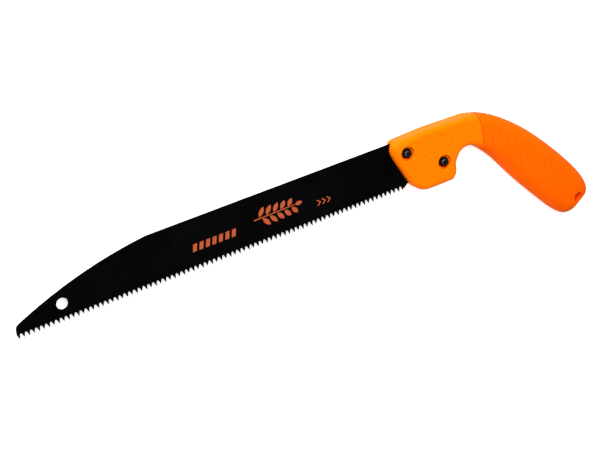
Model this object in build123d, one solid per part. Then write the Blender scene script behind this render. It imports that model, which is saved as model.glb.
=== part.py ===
from build123d import *

import os
from math import cos, pi

# Fixed-blade pruning saw, lying on its side. Millimetres.
# It is modelled with the first tooth at x = 0, the tooth line along X towards the grip,
# the back of the blade towards +Y and the middle of the blade's thickness at z = 0.
# The last step moves it so that the origin is under the middle of the whole saw.

# Blade
TOOTH_PITCH = 25.4 / 6
TOOTH_COUNT = 84
TOOTH_TIP_Y = -2.8
TOOTH_LEAN = 0.35
TOOTH_ROOT_Y = 0.6
GULLET_TOP_Y = 1.3
GULLET_RADIUS = 0.8
TOOTH_HALF_BASE = 1.2
TOOTH_SET = 0.35
TOOTH_BEVEL = 1.1
BLADE_THICKNESS = 1.0
BLADE_BACK_Y = 41.6
HANG_HOLE_X = 40.4
HANG_HOLE_Y = 12.5
HANG_HOLE_RADIUS = 4.85
HEEL_Y = 2.6
HEEL_LOW_Y = -1.2

# Handle
CHEEK_HALF = 9.25
GRIP_HALF = 14.0
HANDLE_TOP_Y = 43.8
CHEEK_BOTTOM_Y = -7.8
EDGE_ROUND = 4.4
NECK_X = 416.0
NECK_TOP_Y = 43.1
NECK_BOTTOM_Y = 16.6
NECK_STEP = 0.1
SLOT_GAP = 0.5

# Fasteners
BOLT_PLACES = {"front": (358.5, 30.6), "rear": (391.3, 11.3)}
BOLT_RADIUS = 2.5
BOLT_HOLE_RADIUS = 2.75
BOLT_END_Z = 8.9
HEAD_RADIUS = 4.75
HEAD_HEIGHT = 3.6
NUT_ACROSS_FLATS = 8.0
NUT_HEIGHT = 4.0
NUT_TURN = 40
RECESS_RADIUS = 6.3
RECESS_DEPTH = 5.0

# Butt
LANYARD_HOLE_X = 515.0
LANYARD_HOLE_Y = -66.5
LANYARD_HOLE_RADIUS = 4.0
LANYARD_FLARE = 1.1
LANYARD_FLARE_Z = 10.8


def tooth_x(index):
    return index * TOOTH_PITCH


def gullet(left_x):
    """The three edges of the rounded notch after the tooth at left_x."""
    middle = left_x + TOOTH_PITCH / 2
    low_left = (left_x + TOOTH_HALF_BASE, TOOTH_ROOT_Y)
    low_right = (left_x + TOOTH_PITCH - TOOTH_HALF_BASE, TOOTH_ROOT_Y)
    side_y = GULLET_TOP_Y - 0.6 * GULLET_RADIUS
    side_left = (middle - 0.9 * GULLET_RADIUS, side_y)
    side_right = (middle + 0.9 * GULLET_RADIUS, side_y)
    return [
        Edge.make_line(low_left, side_left),
        Edge.make_three_point_arc(side_left, (middle, GULLET_TOP_Y), side_right),
        Edge.make_line(side_right, low_right),
    ]


def tooth_root(index):
    x = tooth_x(index)
    return Edge.make_line((x - TOOTH_HALF_BASE, TOOTH_ROOT_Y), (x + TOOTH_HALF_BASE, TOOTH_ROOT_Y))


def tooth(index):
    """A pointed tooth, raked towards the handle, set to one side and bevelled to a point there."""
    x = tooth_x(index)
    side = 1 if index % 2 == 0 else -1
    half = BLADE_THICKNESS / 2
    base = [
        (x + end * TOOTH_HALF_BASE, TOOTH_ROOT_Y, face * half)
        for end in (-1, 1)
        for face in (-1, 1)
    ]
    point = (x + TOOTH_LEAN, TOOTH_TIP_Y, side * (half + TOOTH_SET))
    inner = (x + TOOTH_LEAN, TOOTH_TIP_Y + TOOTH_BEVEL, side * (TOOTH_SET * 0.6 - half))
    return ConvexPolyhedron([Vector(*p) for p in base + [point, inner]])


def blade():
    """Plate with a tapered nose, a hanging hole, bolt holes, and a tang that sits in the handle."""
    last = tooth_x(TOOTH_COUNT - 1)
    edges = [tooth_root(0)]
    for index in range(TOOTH_COUNT - 1):
        edges += gullet(tooth_x(index))
        edges.append(tooth_root(index + 1))
    heel_low = (last + TOOTH_HALF_BASE, HEEL_LOW_Y)
    nose_low = (-0.9, 4.0)
    nose_high = (3.0, 9.5)
    taper_end = (121, BLADE_BACK_Y)
    edges += [
        Edge.make_line((last + TOOTH_HALF_BASE, TOOTH_ROOT_Y), heel_low),
        Edge.make_line(heel_low, (last + 6.6, HEEL_Y)),
        Edge.make_line((last + 6.6, HEEL_Y), (394, HEEL_Y)),
        Edge.make_three_point_arc((394, HEEL_Y), (399, 4.6), (401, 9.6)),
        Edge.make_line((401, 9.6), (401, 18)),
        Edge.make_three_point_arc((401, 18), (399.2, 22.4), (395, 26)),
        Edge.make_line((395, 26), (373, 40)),
        Edge.make_three_point_arc((373, 40), (371.0, 41.1), (368.6, BLADE_BACK_Y)),
        Edge.make_line((368.6, BLADE_BACK_Y), taper_end),
        Edge.make_three_point_arc(taper_end, (60, 30), nose_high),
        Edge.make_three_point_arc(nose_high, (0.1, 7.3), nose_low),
        Edge.make_line(nose_low, (-TOOTH_HALF_BASE, TOOTH_ROOT_Y)),
    ]
    outline = Face(Wire(edges))
    plate = extrude(outline, BLADE_THICKNESS / 2, both=True)
    hang_hole = Pos(HANG_HOLE_X, HANG_HOLE_Y) * Cylinder(HANG_HOLE_RADIUS, 10)
    bolt_holes = [Pos(x, y) * Cylinder(BOLT_HOLE_RADIUS, 10) for x, y in BOLT_PLACES.values()]
    plate = plate - [hang_hole] - bolt_holes
    return plate + [tooth(index) for index in range(TOOTH_COUNT)]


def cheek():
    """The flat-sided front of the handle, up to the middle of the finger crook."""
    with BuildSketch() as outline:
        with BuildLine():
            Line((351.5, HANDLE_TOP_Y - 0.9), (375, HANDLE_TOP_Y))
            Spline(
                (375, HANDLE_TOP_Y),
                (395, HANDLE_TOP_Y - 0.1),
                (NECK_X, NECK_TOP_Y),
                tangents=[(1, 0.04), (1, 0)],
            )
            Line((NECK_X, NECK_TOP_Y), (NECK_X, NECK_BOTTOM_Y))
            Spline(
                (NECK_X, NECK_BOTTOM_Y),
                (409.4, 14.6),
                (404.4, 8.4),
                (402.6, 0.5),
                tangents=[(-1, 0), (-0.08, -1)],
            )
            Spline(
                (402.6, 0.5),
                (400.6, -4.6),
                (395.4, CHEEK_BOTTOM_Y),
                tangents=[(-0.08, -1), (-1, 0)],
            )
            Line((395.4, CHEEK_BOTTOM_Y), (376, CHEEK_BOTTOM_Y))
            Spline(
                (376, CHEEK_BOTTOM_Y),
                (365.8, -5.9),
                (358.9, 0.4),
                tangents=[(-1, 0), (-0.6, 0.85)],
            )
            Spline(
                (358.9, 0.4),
                (351.5, 16),
                (346.4, 29),
                (345.6, 37),
                (351.5, HANDLE_TOP_Y - 0.9),
                tangents=[(-0.6, 0.85), (1, 0.04)],
            )
        make_face()
    block = extrude(outline.sketch, CHEEK_HALF, both=True)
    rims = [
        edge
        for edge in block.edges()
        if abs(abs(edge.center().Z) - CHEEK_HALF) < 0.01 and edge.center().X < NECK_X - 0.1
    ]
    return fillet(rims, EDGE_ROUND)


# The grip's sections, from the neck to the butt: the points where each crosses the top and the
# underside of the grip, then its half thickness and its corner radius.
GRIP_SECTIONS = [
    ((NECK_X, NECK_TOP_Y - NECK_STEP), (NECK_X, NECK_BOTTOM_Y + NECK_STEP), CHEEK_HALF - NECK_STEP, 4.3),
    ((426, 42.3), (421.6, 15.3), 9.9, 5.8),
    ((437, 39.2), (427.2, 10.8), 11.2, 8.2),
    ((449, 33.4), (434.4, 3.8), 12.6, 10.4),
    ((461, 25.2), (441.6, -5.0), 13.5, 12.2),
    ((473.5, 14.8), (450.0, -17.4), GRIP_HALF, 13.2),
    ((486, 2.4), (459.0, -30.4), GRIP_HALF, 13.2),
    ((499, -12.4), (469.6, -44.4), GRIP_HALF, 13.2),
    ((511, -27.4), (480.0, -57.6), GRIP_HALF, 13.0),
    ((521.5, -42.4), (491.0, -70.8), 13.8, 13.0),
    ((527.6, -54.6), (499.2, -78.0), 13.0, 12.2),
    ((529.0, -64.6), (505.0, -79.4), 10.8, 10.0),
]


def grip_section(top, bottom, half, corner):
    across = Vector(*top) - Vector(*bottom)
    middle = (Vector(*top) + Vector(*bottom)) * 0.5
    plane = Plane(origin=middle, x_dir=across.normalized(), z_dir=Vector(across.Y, -across.X, 0))
    return plane * RectangleRounded(across.length, 2 * half, corner)


def grip():
    """The oval grip behind the neck, with its rounded butt."""
    body = loft([grip_section(*section) for section in GRIP_SECTIONS])
    end = body.faces().sort_by(Axis((0, 0, 0), (1, -1, 0)))[-1]
    return fillet(end.edges(), 6.0)


def seam_region():
    """Everything behind the seam between the hard neck and the soft grip, as a tall block."""
    with BuildSketch() as region:
        with BuildLine():
            Spline((424, 6), (427.6, 10.6), (430.6, 16), (431.7, 24), (431.5, 35), (429.8, 46))
            Polyline((429.8, 46), (560, 46), (560, -100), (424, -100), (424, 6))
        make_face()
    return extrude(region.sketch, 30, both=True)


def stem():
    """The core's flat stem inside the soft grip. It stops short of the lanyard hole."""
    outline = Polyline(
        (424, 37), (440, 31.5), (466, 9), (506, -42), (512, -52),
        (505, -60), (494, -56), (452, -7), (428, 19), (424, 37),
    )
    return extrude(make_face(outline), 5.5, both=True)


def recesses():
    """The round recesses for nuts and heads, and the bolt holes between them."""
    cuts = []
    for x, y in BOLT_PLACES.values():
        cuts.append(Pos(x, y) * Cylinder(BOLT_HOLE_RADIUS, 4 * CHEEK_HALF))
        for side in (-1, 1):
            depth = RECESS_DEPTH + 5
            middle = side * (CHEEK_HALF - RECESS_DEPTH + depth / 2)
            cuts.append(Pos(x, y, middle) * Cylinder(RECESS_RADIUS, depth))
    return cuts


def blade_slot():
    """The slot that takes the tang: the blade's own thickness, and a little room around its edge."""
    outline = Polyline(
        (330, BLADE_BACK_Y + 0.25), (373, BLADE_BACK_Y + 0.25), (397, 26.6), (401.6, 20),
        (401.6, 4), (398, HEEL_Y - SLOT_GAP), (330, HEEL_Y - SLOT_GAP), (330, BLADE_BACK_Y + 0.25),
    )
    return extrude(make_face(outline), BLADE_THICKNESS / 2, both=True)


def label_frame():
    """A shallow rectangular frame sunk into the near cheek."""
    outer = Pos(386.0, 28.6, CHEEK_HALF) * Box(34.5, 12.6, 0.5)
    inner = Pos(386.0, 28.6, CHEEK_HALF) * Box(32.9, 11.0, 0.6)
    return outer - inner


def lanyard_hole():
    """Cutter for the round hole, with a flare that widens it at both mouths."""
    straight = Cylinder(LANYARD_HOLE_RADIUS, 60)
    cone_height = 4 * LANYARD_FLARE
    cone = Cone(LANYARD_HOLE_RADIUS, LANYARD_HOLE_RADIUS + 2 * LANYARD_FLARE, cone_height)
    flare = Pos(0, 0, LANYARD_FLARE_Z + cone_height / 2) * cone
    return Pos(LANYARD_HOLE_X, LANYARD_HOLE_Y) * (straight + flare + mirror(flare, Plane.XY))


def handle_core():
    outer = cheek() + (grip() - seam_region())
    return outer + stem() - [blade_slot(), label_frame()] - recesses()


def grip_sleeve():
    return (grip() & seam_region()) - [stem(), lanyard_hole()]


def bolt(place):
    """Pan-head machine screw with a cross recess; its threaded end stands in the nut's recess."""
    x, y = place
    bearing_z = RECESS_DEPTH - CHEEK_HALF
    length = BOLT_END_Z - bearing_z
    shank = Pos(0, 0, bearing_z + length / 2) * Cylinder(BOLT_RADIUS, length)
    end_rim = shank.edges().filter_by(GeomType.CIRCLE).sort_by(Axis.Z)[-1]
    shank = chamfer(end_rim, 0.5)
    head = Pos(0, 0, bearing_z - HEAD_HEIGHT / 2) * Cylinder(HEAD_RADIUS, HEAD_HEIGHT)
    head_rim = head.edges().filter_by(GeomType.CIRCLE).sort_by(Axis.Z)[0]
    head = fillet(head_rim, 2.2)
    cross = [
        Pos(0, 0, bearing_z - HEAD_HEIGHT) * Rot(0, 0, turn) * Box(5.0, 1.1, 3.6)
        for turn in (20, 110)
    ]
    return Pos(x, y) * (shank + head - cross)


def nut(place):
    """Hexagon nut with its corners turned off at the top and a countersunk bore."""
    x, y = place
    corner_radius = NUT_ACROSS_FLATS / 2 / cos(pi / 6)
    seat_z = CHEEK_HALF - RECESS_DEPTH
    prism = extrude(RegularPolygon(corner_radius, 6, rotation=NUT_TURN), NUT_HEIGHT)
    turned = Pos(0, 0, NUT_HEIGHT / 2) * Cylinder(corner_radius, NUT_HEIGHT)
    turned = chamfer(turned.edges().filter_by(GeomType.CIRCLE), 0.35, 0.6)
    body = (prism & turned) - Pos(0, 0, NUT_HEIGHT / 2) * Cylinder(BOLT_RADIUS, 2 * NUT_HEIGHT)
    body = body - Pos(0, 0, NUT_HEIGHT - 0.2) * Cone(BOLT_RADIUS, BOLT_RADIUS + 0.4, 0.4)
    return Pos(x, y, seat_z) * body


pieces = {
    "blade": blade(),
    "handle_core": handle_core(),
    "grip_sleeve": grip_sleeve(),
}
for place_name, place in BOLT_PLACES.items():
    pieces[place_name + "_bolt"] = bolt(place)
    pieces[place_name + "_nut"] = nut(place)

boxes = [piece.bounding_box() for piece in pieces.values()]
low_x, high_x = min(box.min.X for box in boxes), max(box.max.X for box in boxes)
low_y, high_y = min(box.min.Y for box in boxes), max(box.max.Y for box in boxes)
low_z = min(box.min.Z for box in boxes)
to_origin = Pos(-(low_x + high_x) / 2, -(low_y + high_y) / 2, -low_z)
print("moved by", to_origin.position)
print("overall size", high_x - low_x, high_y - low_y)

os.makedirs("parts", exist_ok=True)
for name, piece in pieces.items():
    export_step(to_origin * piece, f"parts/{name}.step")
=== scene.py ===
import math

import bmesh
import bpy
import numpy as np
from mathutils import Matrix, Vector


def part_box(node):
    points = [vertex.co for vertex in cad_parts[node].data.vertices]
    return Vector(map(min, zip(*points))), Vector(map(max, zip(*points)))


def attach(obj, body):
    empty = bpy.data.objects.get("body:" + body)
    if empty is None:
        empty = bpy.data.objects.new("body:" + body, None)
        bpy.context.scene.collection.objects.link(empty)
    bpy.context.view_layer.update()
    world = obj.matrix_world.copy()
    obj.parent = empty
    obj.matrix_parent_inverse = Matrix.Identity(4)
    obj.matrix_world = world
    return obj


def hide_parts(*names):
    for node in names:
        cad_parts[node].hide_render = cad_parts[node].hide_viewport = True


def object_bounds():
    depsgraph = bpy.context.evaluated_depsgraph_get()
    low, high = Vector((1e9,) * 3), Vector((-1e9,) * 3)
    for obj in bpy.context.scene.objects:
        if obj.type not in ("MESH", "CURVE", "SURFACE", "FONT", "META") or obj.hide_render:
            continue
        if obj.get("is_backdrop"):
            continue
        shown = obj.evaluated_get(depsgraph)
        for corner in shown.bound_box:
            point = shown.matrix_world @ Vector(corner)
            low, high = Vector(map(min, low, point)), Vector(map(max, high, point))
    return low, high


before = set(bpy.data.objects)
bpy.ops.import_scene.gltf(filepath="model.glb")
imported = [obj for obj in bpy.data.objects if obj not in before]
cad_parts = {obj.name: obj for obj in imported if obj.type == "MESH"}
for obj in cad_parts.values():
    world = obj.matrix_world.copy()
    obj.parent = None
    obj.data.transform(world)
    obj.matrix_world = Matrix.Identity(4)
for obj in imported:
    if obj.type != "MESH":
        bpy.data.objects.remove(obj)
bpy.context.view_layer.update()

MM = 0.001

# The saw's own plan: the first tooth at x = 0, the tooth line along X, the blade's back towards +Y
# and the middle of the blade's thickness at z = 0. The blade's box places that plan in the frame.
TANG_END_X = 401.0
BLADE_BACK_Y = 41.6
BLADE_FACE_Z = 0.5
CHEEK_FACE_Z = 9.25

blade_low, blade_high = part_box("blade")
PLAN = Vector((
    blade_high.x - TANG_END_X * MM,
    blade_high.y - BLADE_BACK_Y * MM,
    (blade_low.z + blade_high.z) / 2,
))


def place(x, y, z=0.0):
    """A point of the plan, given in millimetres, in the frame's metres."""
    return PLAN + Vector((x, y, z)) * MM


# ---------------------------------------------------------------- camera

def look_from(eye, right, up, lens):
    right = Vector(right).normalized()
    back = right.cross(Vector(up)).normalized()
    up = back.cross(right)
    camera = bpy.data.cameras.new("camera")
    camera.lens = lens
    camera.sensor_width = 36.0
    camera.clip_start = 0.01
    camera.clip_end = 20.0
    seen_by = bpy.data.objects.new("camera", camera)
    turn = Matrix((right, up, back)).transposed().to_4x4()
    seen_by.matrix_world = Matrix.Translation(eye) @ turn
    bpy.context.scene.collection.objects.link(seen_by)
    bpy.context.scene.camera = seen_by


look_from(
    eye=place(-213.7, 530.75, 1208.2),
    right=(0.87934, -0.20609, 0.42929),
    up=(0.34042, 0.90243, -0.26407),
    lens=100.34,
)


# ---------------------------------------------------------------- node materials

class Shader:
    """A short way to build one material's nodes."""

    def __init__(self, name):
        self.material = bpy.data.materials.new(name)
        self.material.use_nodes = True
        self.tree = self.material.node_tree
        self.surface = self.tree.nodes["Principled BSDF"]
        self.place = self.node("ShaderNodeTexCoord").outputs["Object"]

    def node(self, kind, **settings):
        made = self.tree.nodes.new(kind)
        for key, value in settings.items():
            setattr(made, key, value)
        return made

    def link(self, source, target):
        self.tree.links.new(source, target)

    def set(self, **values):
        for key, value in values.items():
            self.surface.inputs[key.replace("_", " ")].default_value = value

    def noise(self, scale, detail=3.0, roughness=0.5):
        made = self.node("ShaderNodeTexNoise")
        made.inputs["Scale"].default_value = scale
        made.inputs["Detail"].default_value = detail
        made.inputs["Roughness"].default_value = roughness
        self.link(self.place, made.inputs["Vector"])
        return made.outputs["Fac"]

    def cells(self, scale):
        made = self.node("ShaderNodeTexVoronoi")
        made.inputs["Scale"].default_value = scale
        self.link(self.place, made.inputs["Vector"])
        return made

    def ramp(self, source, *stops):
        """Colours along a value; each stop is (position, colour)."""
        made = self.node("ShaderNodeValToRGB")
        ends = made.color_ramp.elements
        while len(ends) < len(stops):
            ends.new(0.5)
        for end, (position, colour) in zip(ends, stops):
            end.position = position
            end.color = (*colour, 1.0)
        self.link(source, made.inputs["Fac"])
        return made.outputs["Color"]

    def between(self, source, low, high):
        """A value from 0 to 1 stretched over the range from low to high."""
        made = self.node("ShaderNodeMapRange")
        made.inputs["To Min"].default_value = low
        made.inputs["To Max"].default_value = high
        self.link(source, made.inputs["Value"])
        return made.outputs["Result"]

    def mix(self, share, one, other):
        """One colour turning into another; each input is a plain value or another node's output."""
        made = self.node("ShaderNodeMix", data_type="RGBA")
        for value, target in ((share, made.inputs[0]), (one, made.inputs[6]), (other, made.inputs[7])):
            if isinstance(value, (tuple, float)):
                target.default_value = (*value, 1.0) if isinstance(value, tuple) else value
            else:
                self.link(value, target)
        return made.outputs[2]

    def bump(self, *layers):
        """Layers of (height, strength, distance in metres), each on top of the one before."""
        normal = None
        for height, strength, distance in layers:
            made = self.node("ShaderNodeBump")
            made.inputs["Strength"].default_value = strength
            made.inputs["Distance"].default_value = distance
            self.link(height, made.inputs["Height"])
            if normal is not None:
                self.link(normal, made.inputs["Normal"])
            normal = made.outputs["Normal"]
        self.link(normal, self.surface.inputs["Normal"])


def grey(value):
    return (value, value, value)


def blade_coating():
    """Black low-friction coating: satin, with fine bright specks and a faint orange-peel surface."""
    s = Shader("blade_coating")
    speck = s.cells(800.0)
    dots = s.ramp(speck.outputs["Distance"], (0.0, grey(1.0)), (0.22, grey(0.0)))
    chosen = s.ramp(speck.outputs["Color"], (0.8, grey(0.0)), (0.95, grey(1.0)))
    lit = s.node("ShaderNodeMath", operation="MULTIPLY")
    s.link(dots, lit.inputs[0])
    s.link(chosen, lit.inputs[1])
    cloud = s.ramp(s.noise(38.0, 4.0), (0.35, (0.0004, 0.0004, 0.0005)), (0.7, (0.0014, 0.0012, 0.0016)))
    s.link(s.mix(lit.outputs["Value"], cloud, (0.03, 0.03, 0.034)), s.surface.inputs["Base Color"])
    s.link(s.between(s.noise(260.0, 5.0), 0.42, 0.54), s.surface.inputs["Roughness"])
    s.set(IOR=1.25, Specular_IOR_Level=0.1)
    s.bump((s.noise(2400.0, 2.0), 0.12, 0.00002), (s.noise(150.0, 2.0), 0.05, 0.00008))
    return s.material


def handle_plastic():
    """Smooth moulded orange plastic."""
    s = Shader("handle_plastic")
    tint = s.ramp(s.noise(24.0, 3.0), (0.3, (0.97, 0.161, 0.0004)), (0.72, (1.0, 0.177, 0.0006)))
    flow = s.ramp(s.noise(160.0, 4.0), (0.4, (0.97, 0.156, 0.0004)), (0.65, (1.0, 0.173, 0.0005)))
    s.link(s.mix(0.35, tint, flow), s.surface.inputs["Base Color"])
    s.link(s.between(s.noise(420.0, 4.0), 0.4, 0.5), s.surface.inputs["Roughness"])
    s.set(IOR=1.07, Specular_IOR_Level=1.0, Specular_Tint=(1.0, 0.68, 0.2, 1.0))
    s.bump((s.noise(1900.0, 2.0), 0.1, 0.00002), (s.noise(210.0, 2.0), 0.05, 0.0001))
    return s.material


def soft_grip():
    """Soft orange-red grip: satin, finely grained."""
    s = Shader("soft_grip")
    tint = s.ramp(s.noise(30.0, 3.0), (0.3, (0.97, 0.110, 0.0003)), (0.72, (1.0, 0.126, 0.0004)))
    grain = s.ramp(s.noise(900.0, 2.0), (0.4, (0.94, 0.102, 0.0003)), (0.62, (1.0, 0.126, 0.0005)))
    s.link(s.mix(0.3, tint, grain), s.surface.inputs["Base Color"])
    s.link(s.between(s.noise(700.0, 3.0), 0.5, 0.62), s.surface.inputs["Roughness"])
    s.set(IOR=1.05, Specular_IOR_Level=1.0, Specular_Tint=(1.0, 0.6, 0.2, 1.0))
    s.bump((s.cells(1500.0).outputs["Distance"], 0.2, 0.00004), (s.noise(260.0, 2.0), 0.08, 0.0001))
    return s.material


def black_oxide(name, dark, wear_and_highlight):
    """Blackened steel of the nuts and screws, rubbed to a warm grey in patches; made light grey, it also
    serves as the painted highlight on the bolts' chamfered rims.
    """
    s = Shader(name)
    patches = s.ramp(s.noise(420.0, 5.0, 0.6), (0.45, dark), (0.75, wear_and_highlight))
    s.link(patches, s.surface.inputs["Base Color"])
    s.link(s.between(s.noise(900.0, 4.0), 0.3, 0.48), s.surface.inputs["Roughness"])
    s.set(Metallic=0.6, Specular_IOR_Level=0.25)
    s.bump((s.noise(1500.0, 4.0), 0.2, 0.00003),)
    return s.material


def print_ink():
    """Orange screen-printed ink, slightly patchy."""
    s = Shader("print_ink")
    patch = s.ramp(s.noise(1100.0, 4.0), (0.35, (0.31, 0.055, 0.016)), (0.62, (0.42, 0.08, 0.024)))
    s.link(patch, s.surface.inputs["Base Color"])
    s.link(s.between(s.noise(300.0, 2.0), 0.5, 0.65), s.surface.inputs["Roughness"])
    s.set(Specular_IOR_Level=0.2)
    s.bump((s.noise(2000.0, 2.0), 0.15, 0.00002),)
    return s.material


BLADE = blade_coating()
PLASTIC = handle_plastic()
SOFT = soft_grip()
NUT_OXIDE = black_oxide("nut_oxide", (0.004, 0.003, 0.003), (0.02, 0.012, 0.01))
BOLT_OXIDE = black_oxide("bolt_oxide", (0.005, 0.004, 0.004), (0.02, 0.016, 0.015))
# A light grey oxide, used as the painted highlight on the bolts' chamfered rims.
RIM_HIGHLIGHT_OXIDE = black_oxide("rim_highlight_oxide", (0.09, 0.078, 0.07), (0.2, 0.178, 0.16))
INK = print_ink()


# ---------------------------------------------------------------- pieces

def finish_piece(piece, material, slot, *nodes):
    """Gives a piece its material and its body, and hides the CAD nodes that it stands for. The slot
    argument is not used.
    """
    piece.data.materials.clear()
    piece.data.materials.append(material)
    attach(piece, "root")
    if nodes:
        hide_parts(*nodes)


def copy_of(node, name):
    """A welded copy of a CAD node's mesh, as a new piece."""
    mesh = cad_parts[node].data.copy()
    mesh.name = name
    piece = bpy.data.objects.new(name, mesh)
    bpy.context.scene.collection.objects.link(piece)
    work = bmesh.new()
    work.from_mesh(mesh)
    bmesh.ops.remove_doubles(work, verts=work.verts, dist=2e-6)
    work.to_mesh(mesh)
    work.free()
    return piece


def apply_modifiers(piece):
    seen = bpy.context.evaluated_depsgraph_get()
    bpy.context.view_layer.update()
    done = bpy.data.meshes.new_from_object(piece.evaluated_get(seen))
    piece.modifiers.clear()
    piece.data = done


def shade(piece, degrees=None):
    """Smooth shading, with edges sharper than the angle left crisp."""
    piece.data.shade_smooth()
    if degrees is not None:
        piece.data.set_sharp_from_angle(angle=math.radians(degrees))


def eased(node, name, width, segments=2, least_angle=28.0, crisp=32.0):
    """A CAD node's shape with its sharp edges eased, as real edges are."""
    piece = copy_of(node, name)
    work = bmesh.new()
    work.from_mesh(piece.data)
    bmesh.ops.dissolve_limit(work, angle_limit=math.radians(0.6), verts=work.verts, edges=work.edges)
    work.to_mesh(piece.data)
    work.free()
    bevel = piece.modifiers.new("ease", "BEVEL")
    bevel.width = width * MM
    bevel.segments = segments
    bevel.limit_method = "ANGLE"
    bevel.angle_limit = math.radians(least_angle)
    bevel.use_clamp_overlap = True
    bevel.harden_normals = False
    apply_modifiers(piece)
    shade(piece, crisp)
    return piece


def moulded(node, name, voxel, smoothing):
    """A CAD node's shape as one fine even mesh, with every edge slightly rounded, as a moulding's is."""
    piece = copy_of(node, name)
    remesh = piece.modifiers.new("even", "REMESH")
    remesh.mode = "VOXEL"
    remesh.voxel_size = voxel * MM
    remesh.use_smooth_shade = True
    smooth = piece.modifiers.new("smooth", "SMOOTH")
    smooth.factor = 0.5
    smooth.iterations = smoothing
    apply_modifiers(piece)
    return piece


def plan_points(piece):
    """The piece's points in the plan's millimetres, as an array."""
    points = np.empty(len(piece.data.vertices) * 3)
    piece.data.vertices.foreach_get("co", points)
    return (points.reshape(-1, 3) - np.array(PLAN)) / MM


def set_plan_points(piece, points):
    piece.data.vertices.foreach_set("co", (points * MM + np.array(PLAN)).ravel())
    piece.data.update()


def normals_of(piece):
    normals = np.empty(len(piece.data.vertices) * 3)
    piece.data.vertex_normals.foreach_get("vector", normals)
    return normals.reshape(-1, 3)


# The grip's grooves. Each line runs across the grip near one x, in dashes with short gaps between
# them, and most end in a short hook that turns under the grip. Lower ends and gaps follow the
# grip's curve, so each is a quadratic in the line's number.
GROOVE_COUNT = 11
GROOVE_FIRST_X = 439.7
GROOVE_PITCH = 7.62
GROOVE_GAP = 2.7
GROOVE_DEPTH = 0.75
GROOVE_HALF_WIDTH = 0.48
HOOKED_FROM = 2

# The grooves fade out where the grip turns towards the butt's end, and around the lanyard hole.
BUTT_FACING = (0.52, -0.85)
BUTT_FADE_START = 0.55
BUTT_FADE_RANGE = 0.25
LANYARD_HOLE = (515.0, -66.5)
HOLE_CLEAR_RADIUS = 6.2
HOLE_FADE_WIDTH = 1.2

# The middle of the grip, from the seam to the butt.
GRIP_MIDDLE = ((432, 24.9), (451.3, 10.1), (471.3, -12.7), (490, -36), (514, -66))

# The grip's flat sides are crowned: the skin comes in by this share at the half breadth from the
# straight line that the grip follows.
CROWN_LINE = ((441.5, 19.0), (512.0, -62.0))
CROWN_SHARE = 0.1
CROWN_HALF_BREADTH = 21.0
CROWN_BEFORE = 12.0
CROWN_FADE = 30.0

# The line where the plastic and the soft grip meet, and the frame around the label field.
SEAM = [
    (424, 6), (427.6, 10.6), (429.3, 13), (430.6, 16), (431.4, 20),
    (431.7, 24), (431.8, 30), (431.5, 35), (430.8, 41), (429.8, 46),
]
SEAM_DEPTH = 0.22
SEAM_HALF_WIDTH = 0.6
SEAM_EASE_REACH = 1.3
SEAM_EASE_ROUNDS = 14
LABEL_LOW = (369.15, 22.7)
LABEL_HIGH = (402.85, 34.5)
LABEL_DEPTH = 0.25
LABEL_HALF_WIDTH = 0.38

# The cheek's front edge from below to the top, how far its outer faces are drawn back there, and
# over what distance.
FRONT_Y = (-8.0, 0.4, 16.0, 29.0, 37.0, 44.0)
FRONT_X = (362.0, 358.9, 351.5, 346.4, 345.6, 351.5)
FRONT_DRAW = 2.2
FRONT_ROUND = 7.0
UNMOVED_HALF = 2.0

# How far the teeth's points are drawn out, as a factor.
TOOTH_DRAW = 1.22

# The printed marks' ink: its thickness, and its gap to the blade.
INK_HEIGHT = 0.03
INK_GAP = 0.004


def groove_runs(index):
    """The dashes of one groove, as lists of plan points, each with its share of the depth."""
    x = GROOVE_FIRST_X + GROOVE_PITCH * index
    low = 9.2 - 8.2 * index - 0.11 * index ** 2
    first_gap = 20.2 - 6.9 * index - 0.22 * index ** 2
    second_gap = 30.2 - 4.5 * index - 0.38 * index ** 2
    top = second_gap + 11.0
    half = GROOVE_GAP / 2
    runs = [
        ([(x - 0.5, low), (x, low + 4.0), (x + 0.1, first_gap - half)], 1.0),
        ([(x + 0.2, first_gap + half), (x, second_gap - half)], 1.0),
        ([(x - 0.1, second_gap + half), (x - 0.5, (second_gap + top) / 2), (x - 1.0, top)], 0.9),
    ]
    if index >= HOOKED_FROM:
        runs.append(([(x - 0.5, low - 3.4), (x - 0.6, low - 6.0), (x - 1.2, low - 9.0)], 0.7))
    return runs


def distance_to_run(points, run):
    """Distance from each point to a polyline, in the plan."""
    nearest = np.full(len(points), 1e9)
    for (ax, ay), (bx, by) in zip(run, run[1:]):
        along = np.array((bx - ax, by - ay))
        offset = points[:, :2] - (ax, ay)
        share = np.clip(offset @ along / (along @ along), 0, 1)
        gap = np.hypot(*(offset - share[:, None] * along).T)
        nearest = np.minimum(nearest, gap)
    return nearest


def groove_depth(points):
    """How deep the grooves go at each point, with soft sides."""
    depth = np.zeros(len(points))
    for index in range(GROOVE_COUNT):
        for run, share in groove_runs(index):
            gap = distance_to_run(points, run) / GROOVE_HALF_WIDTH
            depth = np.maximum(depth, GROOVE_DEPTH * share * np.exp(-gap ** 2))
    return depth


def outer_skin(points, normals):
    """1 on the grip's outer skin, and 0 in its cavity and in the lanyard hole."""
    centre = np.array(GRIP_MIDDLE)
    nearest = np.full(len(points), 1e9)
    outward = np.zeros(len(points))
    for a, b in zip(centre, centre[1:]):
        along = b - a
        offset = points[:, :2] - a
        share = np.clip(offset @ along / (along @ along), -0.4, 1.2)
        away = offset - share[:, None] * along
        gap = np.hypot(*away.T)
        facing = (away * normals[:, :2]).sum(1) + points[:, 2] * normals[:, 2]
        outward = np.where(gap < nearest, facing, outward)
        nearest = np.minimum(nearest, gap)
    return (outward > 0).astype(float)


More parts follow.
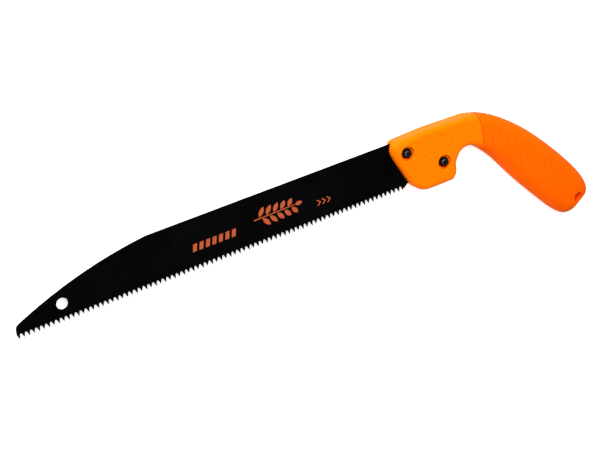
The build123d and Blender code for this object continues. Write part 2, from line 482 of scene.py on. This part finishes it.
def subdivide_near(piece, chosen):
    """Splits the faces around the chosen points once, for finer detail there."""
    work = bmesh.new()
    work.from_mesh(piece.data)
    work.verts.ensure_lookup_table()
    edges = {edge for i in np.flatnonzero(chosen) for edge in work.verts[i].link_edges}
    bmesh.ops.subdivide_edges(work, edges=list(edges), cuts=1, use_grid_fill=True)
    bmesh.ops.triangulate(work, faces=[face for face in work.faces if len(face.verts) > 4])
    work.to_mesh(piece.data)
    work.free()


def sunk(piece, depth_at, share=0.05):
    """Presses lines into a piece's outer skin: finer faces along them first, then the points go in."""
    points = plan_points(piece)
    depth = depth_at(points, normals_of(piece))
    subdivide_near(piece, depth > share * depth.max())
    points = plan_points(piece)
    normals = normals_of(piece)
    set_plan_points(piece, points - normals * depth_at(points, normals)[:, None])


def seam_depth(points, normals):
    gap = distance_to_run(points, SEAM) / SEAM_HALF_WIDTH
    return SEAM_DEPTH * np.exp(-gap ** 2) * outer_skin(points, normals)


def grooved_area(points, normals):
    """1 where the grip is grooved, fading to 0 on the butt's end and around the lanyard hole."""
    facing_end = normals[:, :2] @ np.array(BUTT_FACING)
    away_from_hole = np.hypot(*(points[:, :2] - LANYARD_HOLE).T)
    before_butt = np.clip((BUTT_FADE_START - facing_end) / BUTT_FADE_RANGE, 0, 1)
    beside_hole = np.clip((away_from_hole - HOLE_CLEAR_RADIUS) / HOLE_FADE_WIDTH, 0, 1)
    return before_butt * beside_hole


def grip_depth(points, normals):
    grooves = groove_depth(points) * outer_skin(points, normals) * grooved_area(points, normals)
    return np.maximum(grooves, seam_depth(points, normals))


def label_depth(points, normals):
    """The shallow frame moulded around the label field on the near cheek."""
    (left, low), (right, high) = LABEL_LOW, LABEL_HIGH
    frame_line = [(left, low), (right, low), (right, high), (left, high), (left, low)]
    gap = distance_to_run(points, frame_line) / LABEL_HALF_WIDTH
    on_near_face = (points[:, 2] > CHEEK_FACE_Z - 0.6) & (normals[:, 2] > 0.7)
    return LABEL_DEPTH * np.exp(-gap ** 2) * on_near_face


def core_depth(points, normals):
    return np.maximum(label_depth(points, normals), seam_depth(points, normals))


def ease_seam(piece):
    """Rounds the piece's edge along the seam, so that the two pieces meet in a neat shallow groove."""
    near = distance_to_run(plan_points(piece), SEAM) < SEAM_EASE_REACH
    work = bmesh.new()
    work.from_mesh(piece.data)
    work.verts.ensure_lookup_table()
    chosen = [work.verts[i] for i in np.flatnonzero(near)]
    for _ in range(SEAM_EASE_ROUNDS):
        bmesh.ops.smooth_vert(
            work, verts=chosen, factor=0.5, use_axis_x=True, use_axis_y=True, use_axis_z=True,
        )
    work.to_mesh(piece.data)
    work.free()


def grip():
    piece = moulded("grip_sleeve", "soft_grip_skin", 0.45, 5)
    ease_seam(piece)
    set_plan_points(piece, crowned(plan_points(piece)))
    sunk(piece, grip_depth)
    shade(piece)
    finish_piece(piece, SOFT, "soft_grip", "grip_sleeve")


def crowned(points):
    """Rounds the grip's flat sides a little, most at the top and the underside of the grip."""
    start, end = np.array(CROWN_LINE)
    along = (end - start) / np.linalg.norm(end - start)
    offset = points[:, :2] - start
    reach = offset @ along
    aside = np.abs(offset @ np.array((-along[1], along[0])))
    started = np.clip((reach + CROWN_BEFORE) / CROWN_FADE, 0, 1)
    shrink = 1 - CROWN_SHARE * started * np.clip(aside / CROWN_HALF_BREADTH, 0, 1) ** 2
    moved = points.copy()
    moved[:, 2] *= shrink
    return moved


def rounder_front(points):
    """Draws the outer faces of the cheek back at its front edge, as a softer rounding there."""
    behind = points[:, 0] - np.interp(points[:, 1], FRONT_Y, FRONT_X)
    reach = np.clip(1 - behind / FRONT_ROUND, 0, 1) ** 2
    outer = np.clip((np.abs(points[:, 2]) - UNMOVED_HALF) / (CHEEK_FACE_Z - UNMOVED_HALF), 0, 1) ** 2
    upper = np.clip((points[:, 1] + 2.0) / 30.0, 0, 1)
    moved = points.copy()
    moved[:, 0] += FRONT_DRAW * reach * outer * upper
    return moved


def core():
    piece = moulded("handle_core", "handle_shell", 0.4, 4)
    ease_seam(piece)
    set_plan_points(piece, rounder_front(plan_points(piece)))
    sunk(piece, core_depth)
    shade(piece)
    finish_piece(piece, PLASTIC, "handle_plastic", "handle_core")


def fastener(kind, material):
    for end in ("front", "rear"):
        node = f"{end}_{kind}"
        piece = eased(node, node + "_eased", 0.06)
        finish_piece(piece, material, "fastener_steel", node)
        # The bolts' chamfered rims get a painted highlight.
        if kind == "bolt":
            paint_rim_highlights(piece)


def paint_rim_highlights(piece):
    """Painted highlight on the rims at the bolt's two ends: their chamfer faces get a light grey oxide
    that stands for the glint there.
    """
    piece.data.materials.append(RIM_HIGHLIGHT_OXIDE)
    for face in piece.data.polygons:
        if 0.35 < abs(face.normal.z) < 0.95:
            face.material_index = 1


def toothed_blade():
    """The blade, with its teeth's points drawn out a little below the tooth line."""
    piece = eased("blade", "blade_eased", 0.07, segments=1, crisp=3.0)
    points = plan_points(piece)
    points[:, 1] = np.where(points[:, 1] < 0.0, points[:, 1] * TOOTH_DRAW, points[:, 1])
    set_plan_points(piece, points)
    finish_piece(piece, BLADE, "blade_coating", "blade")


def flat_shapes(name, outlines):
    """Thin raised shapes on the near face of the blade, from closed outlines in plan millimetres."""
    work = bmesh.new()
    low = BLADE_FACE_Z + INK_GAP
    for outline in outlines:
        bottom = [work.verts.new(place(x, y, low)) for x, y in outline]
        top = [work.verts.new(place(x, y, low + INK_HEIGHT)) for x, y in outline]
        count = len(outline)
        work.faces.new(top)
        work.faces.new(bottom[::-1])
        for i in range(count):
            j = (i + 1) % count
            work.faces.new((bottom[i], bottom[j], top[j], top[i]))
    bmesh.ops.recalc_face_normals(work, faces=work.faces)
    bmesh.ops.triangulate(work, faces=[face for face in work.faces if len(face.verts) > 4])
    mesh = bpy.data.meshes.new(name)
    work.to_mesh(mesh)
    work.free()
    piece = bpy.data.objects.new(name, mesh)
    bpy.context.scene.collection.objects.link(piece)
    finish_piece(piece, INK, "blade_coating")


def slanted_bar(x, y, width, height, lean=0.28):
    """A bar from (x, y) upwards, leaning to the right, as a closed outline."""
    over = lean * height
    return [(x, y), (x + width, y), (x + width + over, y + height), (x + over, y + height)]


def leaf(x, y, length, width, degrees):
    """A pointed leaf from (x, y), as a closed outline."""
    turn = math.radians(degrees)
    outline = []
    for side in (1, -1):
        for t in np.linspace(0, 1, 9)[:-1]:
            t = t if side == 1 else 1 - t
            along = length * t
            off = side * width / 2 * math.sin(math.pi * t) ** 0.8
            outline.append((
                x + along * math.cos(turn) - off * math.sin(turn),
                y + along * math.sin(turn) + off * math.cos(turn),
            ))
    return outline


def chevron(x, y, width, height, thickness):
    """An arrow head pointing right, as a closed outline."""
    half = height / 2
    return [
        (x, y), (x + thickness, y), (x + thickness + width, y + half), (x + thickness, y + height),
        (x, y + height), (x + width, y + half),
    ]


def blade_marks():
    """Plain printed marks, with no lettering: slanted bars, a leafy sprig and three chevrons."""
    bar_pitch, bar_width, bar_height = 5.9, 3.6, 6.4
    bars = [slanted_bar(155.5 + bar_pitch * i, 13.4, bar_width, bar_height) for i in range(7)]
    flat_shapes("blade_mark_bars", bars)

    stalk = [(213, 19.6), (251, 20.4), (251, 21.2), (213, 20.6)]
    leaf_pitch, leaf_width, spread = 6.8, 4.0, 52
    sprig = [stalk]
    for i in range(5):
        x = 218 + leaf_pitch * i
        length = 9.6 - 0.5 * i
        sprig.append(leaf(x, 21.4, length, leaf_width, spread))
        sprig.append(leaf(x + 3.0, 19.4, length, leaf_width, -spread))
    sprig.append(leaf(251.6, 20.8, 7.0, 3.6, 2))
    flat_shapes("blade_mark_sprig", sprig)

    chevron_pitch = 4.6
    chevrons = [chevron(271 + chevron_pitch * i, 12.2, 2.6, 5.0, 1.5) for i in range(3)]
    flat_shapes("blade_mark_chevrons", chevrons)


toothed_blade()
core()
grip()
fastener("bolt", BOLT_OXIDE)
fastener("nut", NUT_OXIDE)
blade_marks()


# ---------------------------------------------------------------- studio

FLOOR_HALF_WIDTH = 6.0
FLOOR_GAP = 0.0002


def floor():
    """A wide white floor just under the saw, lit a little from within so that it stays pale."""
    s = Shader("studio_floor")
    paper = s.ramp(s.noise(3.0, 2.0), (0.3, grey(0.9)), (0.7, grey(0.93)))
    s.link(paper, s.surface.inputs["Base Color"])
    s.set(Roughness=0.7, Specular_IOR_Level=0.2)
    s.set(Emission_Color=(1.0, 1.0, 1.0, 1.0), Emission_Strength=0.6)
    mesh = bpy.data.meshes.new("floor")
    half = FLOOR_HALF_WIDTH
    corners = [(-half, -half, 0), (half, -half, 0), (half, half, 0), (-half, half, 0)]
    mesh.from_pydata(corners, [], [(0, 1, 2, 3)])
    mesh.materials.append(s.material)
    piece = bpy.data.objects.new("floor", mesh)
    bpy.context.scene.collection.objects.link(piece)
    piece.location.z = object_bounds()[0][2] - FLOOR_GAP
    piece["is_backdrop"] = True


def soft_light(name, position, aim, size, power):
    light = bpy.data.lights.new(name, "AREA")
    light.shape = "DISK"
    light.size = size
    light.energy = power
    lamp = bpy.data.objects.new(name, light)
    lamp.location = position
    lamp.rotation_euler = (Vector(aim) - Vector(position)).to_track_quat("-Z", "Y").to_euler()
    bpy.context.scene.collection.objects.link(lamp)


def studio():
    world = bpy.data.worlds.new("studio")
    world.use_nodes = True
    sky = world.node_tree.nodes["Background"]
    sky.inputs["Color"].default_value = (1.0, 1.0, 1.0, 1.0)
    sky.inputs["Strength"].default_value = 0.2
    bpy.context.scene.world = world
    soft_light("key", (-0.2, 0.55, 0.75), (0.08, 0.0, 0.0), 0.6, 13.5)
    soft_light("top", (0.5, 0.92, 0.73), (0.12, 0.0, 0.0), 0.8, 3.5)
    bpy.context.scene.view_settings.view_transform = "Standard"


floor()
studio()
